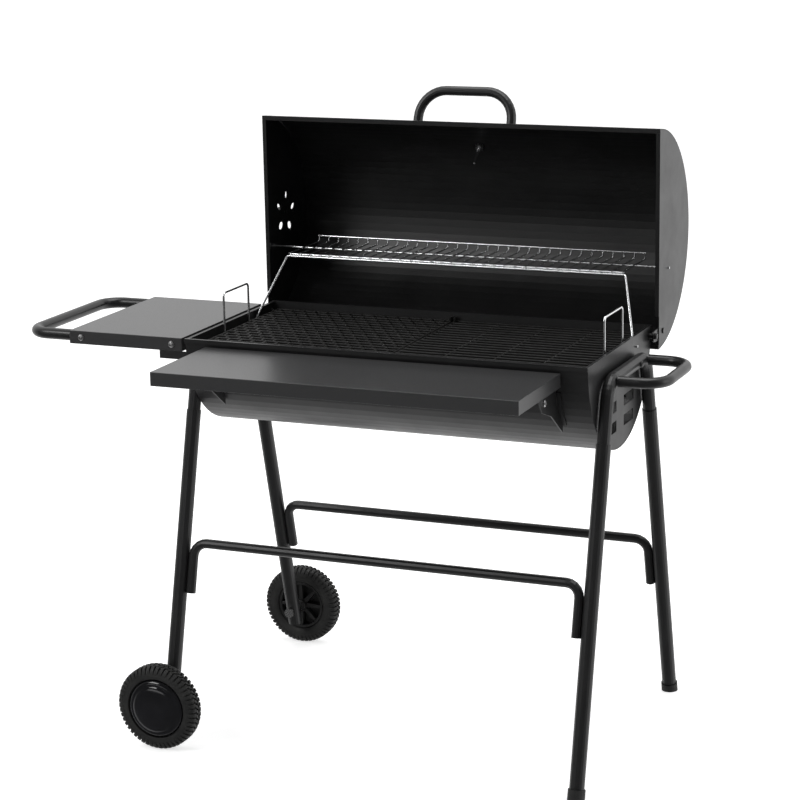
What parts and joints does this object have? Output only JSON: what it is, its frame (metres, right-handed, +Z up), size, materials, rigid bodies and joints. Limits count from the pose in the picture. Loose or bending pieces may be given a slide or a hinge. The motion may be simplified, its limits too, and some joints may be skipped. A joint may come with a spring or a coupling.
{
  "type": "barrel charcoal grill",
  "caption": "Barrel charcoal grill on a wheeled tube stand, with a hinged hood, folding warming rack, front and side shelves and cooking grates.",
  "frame": {"origin": "middle of the whole grill's box at ground level, hood open", "axes": "+X along the barrel to the push-handle end, +Y to the rear, where the hood hinges, +Z up"},
  "size_m": [1.2916, 0.8196, 1.2108],
  "materials": {
    "powder_coat": "satin black powder coat",
    "handle_coat": "satin black coated tube",
    "lid_enamel": "satin black enamel",
    "shelf_coat": "smooth satin black coat",
    "zinc_steel": "bright zinc plated",
    "chrome_wire": "polished chrome",
    "grate_iron": "matte black seasoned",
    "tyre_rubber": "matte black, treaded",
    "foot_rubber": "matte black",
    "rim_plastic": "satin black moulded",
    "hub_gloss": "glossy black moulded"
  },
  "bodies": {
    "grill": {"bowl_shell": "powder_coat", "bowl_end_left": "powder_coat", "bowl_end_right": "powder_coat", "grate_ledge_front": "powder_coat", "grate_ledge_rear": "powder_coat", "stand_top_left": "powder_coat", "stand_top_right": "powder_coat", "leg_front_left": "powder_coat", "leg_front_right": "powder_coat", "leg_rear_left": "powder_coat", "leg_rear_right": "powder_coat", "stretcher_front": "powder_coat", "stretcher_rear": "powder_coat", "front_bracket_left": "powder_coat", "front_bracket_right": "powder_coat", "side_bracket_front": "powder_coat", "side_bracket_rear": "powder_coat", "side_handle": "handle_coat", "push_handle": "handle_coat", "front_shelf": "shelf_coat", "side_shelf": "shelf_coat", "stand_bolt_left": "powder_coat", "stand_bolt_right": "powder_coat", "axle_front": "zinc_steel", "axle_rear": "zinc_steel", "front_shelf_bolt_left": "zinc_steel", "front_shelf_bolt_right": "zinc_steel", "side_bolt_front_0": "zinc_steel", "side_bolt_front_1": "zinc_steel", "side_bolt_rear_0": "zinc_steel", "side_bolt_rear_1": "zinc_steel", "hinge_bolt_left": "powder_coat", "hinge_bolt_right": "powder_coat", "lift_handle_left": "chrome_wire", "lift_handle_right": "chrome_wire", "cooking_grate_left": "grate_iron", "cooking_grate_right": "grate_iron", "charcoal_grate": "grate_iron", "foot_cap_front": "foot_rubber", "foot_cap_rear": "foot_rubber"},
    "lid": {"lid_shell": "lid_enamel", "lid_end_left": "lid_enamel", "lid_end_right": "lid_enamel", "lid_handle": "handle_coat", "thermometer": "chrome_wire", "thermometer_nut": "zinc_steel", "hinge_plate_left": "lid_enamel", "hinge_plate_right": "lid_enamel"},
    "vent_disc": {"lid_vent_disc": "lid_enamel"},
    "rack": {"warming_rack": "chrome_wire"},
    "bail": {"rack_bail": "chrome_wire"},
    "wheel_front": {"tyre_front": "tyre_rubber", "rim_front": "rim_plastic", "hub_cap_front": "hub_gloss"},
    "wheel_rear": {"tyre_rear": "tyre_rubber", "rim_rear": "rim_plastic", "hub_cap_rear": "hub_gloss"}
  },
  "joints": [
    {"name": "lid_hinge", "type": "hinge", "parent": "grill", "child": "lid", "pos_m": [0.12665, 0.19175, 0.755], "axis": [1, 0, 0], "range_deg": [0, 90]},
    {"name": "vent_turn", "type": "hinge", "parent": "lid", "child": "vent_disc", "pos_m": [-0.28715, 0.30525, 0.94], "axis": [1, 0, 0], "range_deg": [-14, 22]},
    {"name": "rack_pivot", "type": "hinge", "parent": "lid", "child": "rack", "pos_m": [0.12665, 0.26775, 0.8745], "axis": [1, 0, 0], "range_deg": [-90, 0]},
    {"name": "bail_pivot", "type": "hinge", "parent": "grill", "child": "bail", "pos_m": [0.12665, 0.10825, 0.752], "axis": [1, 0, 0], "range_deg": [0, 90]},
    {"name": "wheel_front_spin", "type": "hinge", "parent": "grill", "child": "wheel_front", "pos_m": [-0.28655, -0.31885, 0.083], "axis": [0, 1, 0], "continuous": true},
    {"name": "wheel_rear_spin", "type": "hinge", "parent": "grill", "child": "wheel_rear", "pos_m": [-0.28655, 0.33835, 0.083], "axis": [0, 1, 0], "continuous": true}
  ],
  "couplings": [
    {"joint": "rack_pivot", "follows": "lid_hinge", "ratio": -1},
    {"joint": "bail_pivot", "follows": "lid_hinge", "ratio": 1}
  ]
}
